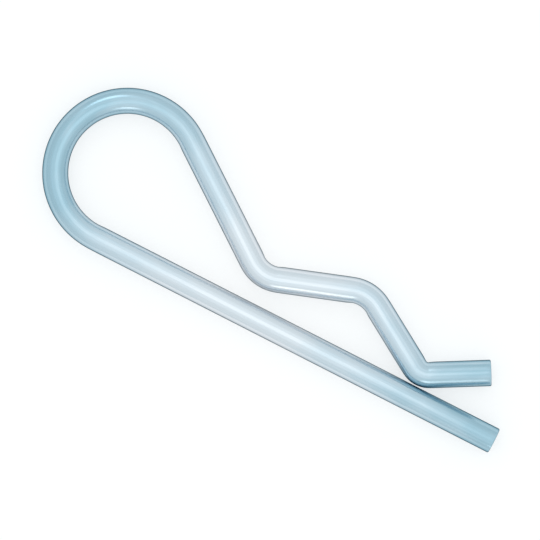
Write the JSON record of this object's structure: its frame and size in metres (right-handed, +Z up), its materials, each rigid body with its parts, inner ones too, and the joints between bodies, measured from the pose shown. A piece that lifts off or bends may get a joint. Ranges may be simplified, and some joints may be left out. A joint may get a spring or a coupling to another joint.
{
  "type": "hitch r clip pin",
  "caption": "Spring wire R clip with a round eye, a straight leg for the cross hole of a hitch pin and a bent leg that snaps round the pin.",
  "frame": {"origin": "middle of the clip's outline, on the surface that it lies on", "axes": "+X along the straight leg from the eye to its cut end, +Y from the straight leg to the bent leg, +Z up from the surface"},
  "size_m": [0.0806, 0.0258, 0.004],
  "materials": {
    "zinc_plated_wire": "bright zinc plate with a pale blue passivation, drawn smooth"
  },
  "bodies": {
    "root": {"clip_wire": "zinc_plated_wire"}
  },
  "joints": []
}
